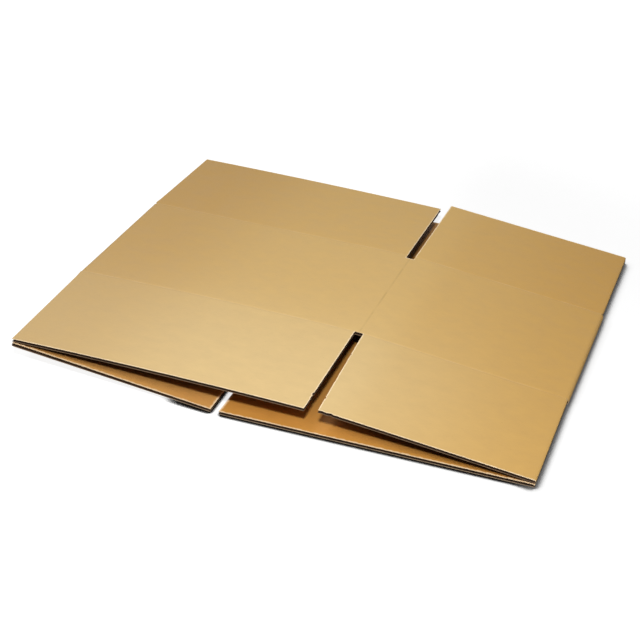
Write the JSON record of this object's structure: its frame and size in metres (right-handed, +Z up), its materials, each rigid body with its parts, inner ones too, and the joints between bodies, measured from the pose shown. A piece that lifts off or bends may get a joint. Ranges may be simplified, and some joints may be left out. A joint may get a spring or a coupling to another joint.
{
  "type": "flattened cardboard box",
  "caption": "Plain brown corrugated slotted box folded flat: offset panels lie in two layers, joined at side folds, with creased end flaps and open slots between them.",
  "frame": {"origin": "centre of the pack's footprint on the surface it lies on", "axes": "+X across the panels towards the right fold, +Y along the flutes towards the back, +Z up"},
  "size_m": [0.52, 0.483, 0.03],
  "materials": {
    "board": "matte unprinted kraft board with a faint sheen"
  },
  "bodies": {
    "box": {"box_sleeve": "board"},
    "long_flap_front": {"long_flap_front": "board"},
    "long_flap_back": {"long_flap_back": "board"},
    "short_flap_front": {"short_flap_front": "board"},
    "short_flap_back": {"short_flap_back": "board"}
  },
  "joints": [
    {"name": "long_front_crease", "type": "hinge", "parent": "box", "child": "long_flap_front", "pos_m": [0, -0.0925, 0.03], "axis": [-1, 0, 0], "range_deg": [0, 125]},
    {"name": "long_back_crease", "type": "hinge", "parent": "box", "child": "long_flap_back", "pos_m": [0, 0.0925, 0.03], "axis": [1, 0, 0], "range_deg": [0, 125]},
    {"name": "short_front_crease", "type": "hinge", "parent": "box", "child": "short_flap_front", "pos_m": [0.045, -0.0925, 0.03], "axis": [-0.9949, 0, 0.1009], "range_deg": [0, 125]},
    {"name": "short_back_crease", "type": "hinge", "parent": "box", "child": "short_flap_back", "pos_m": [0.045, 0.0925, 0.03], "axis": [0.9949, 0, -0.1009], "range_deg": [0, 125]}
  ]
}
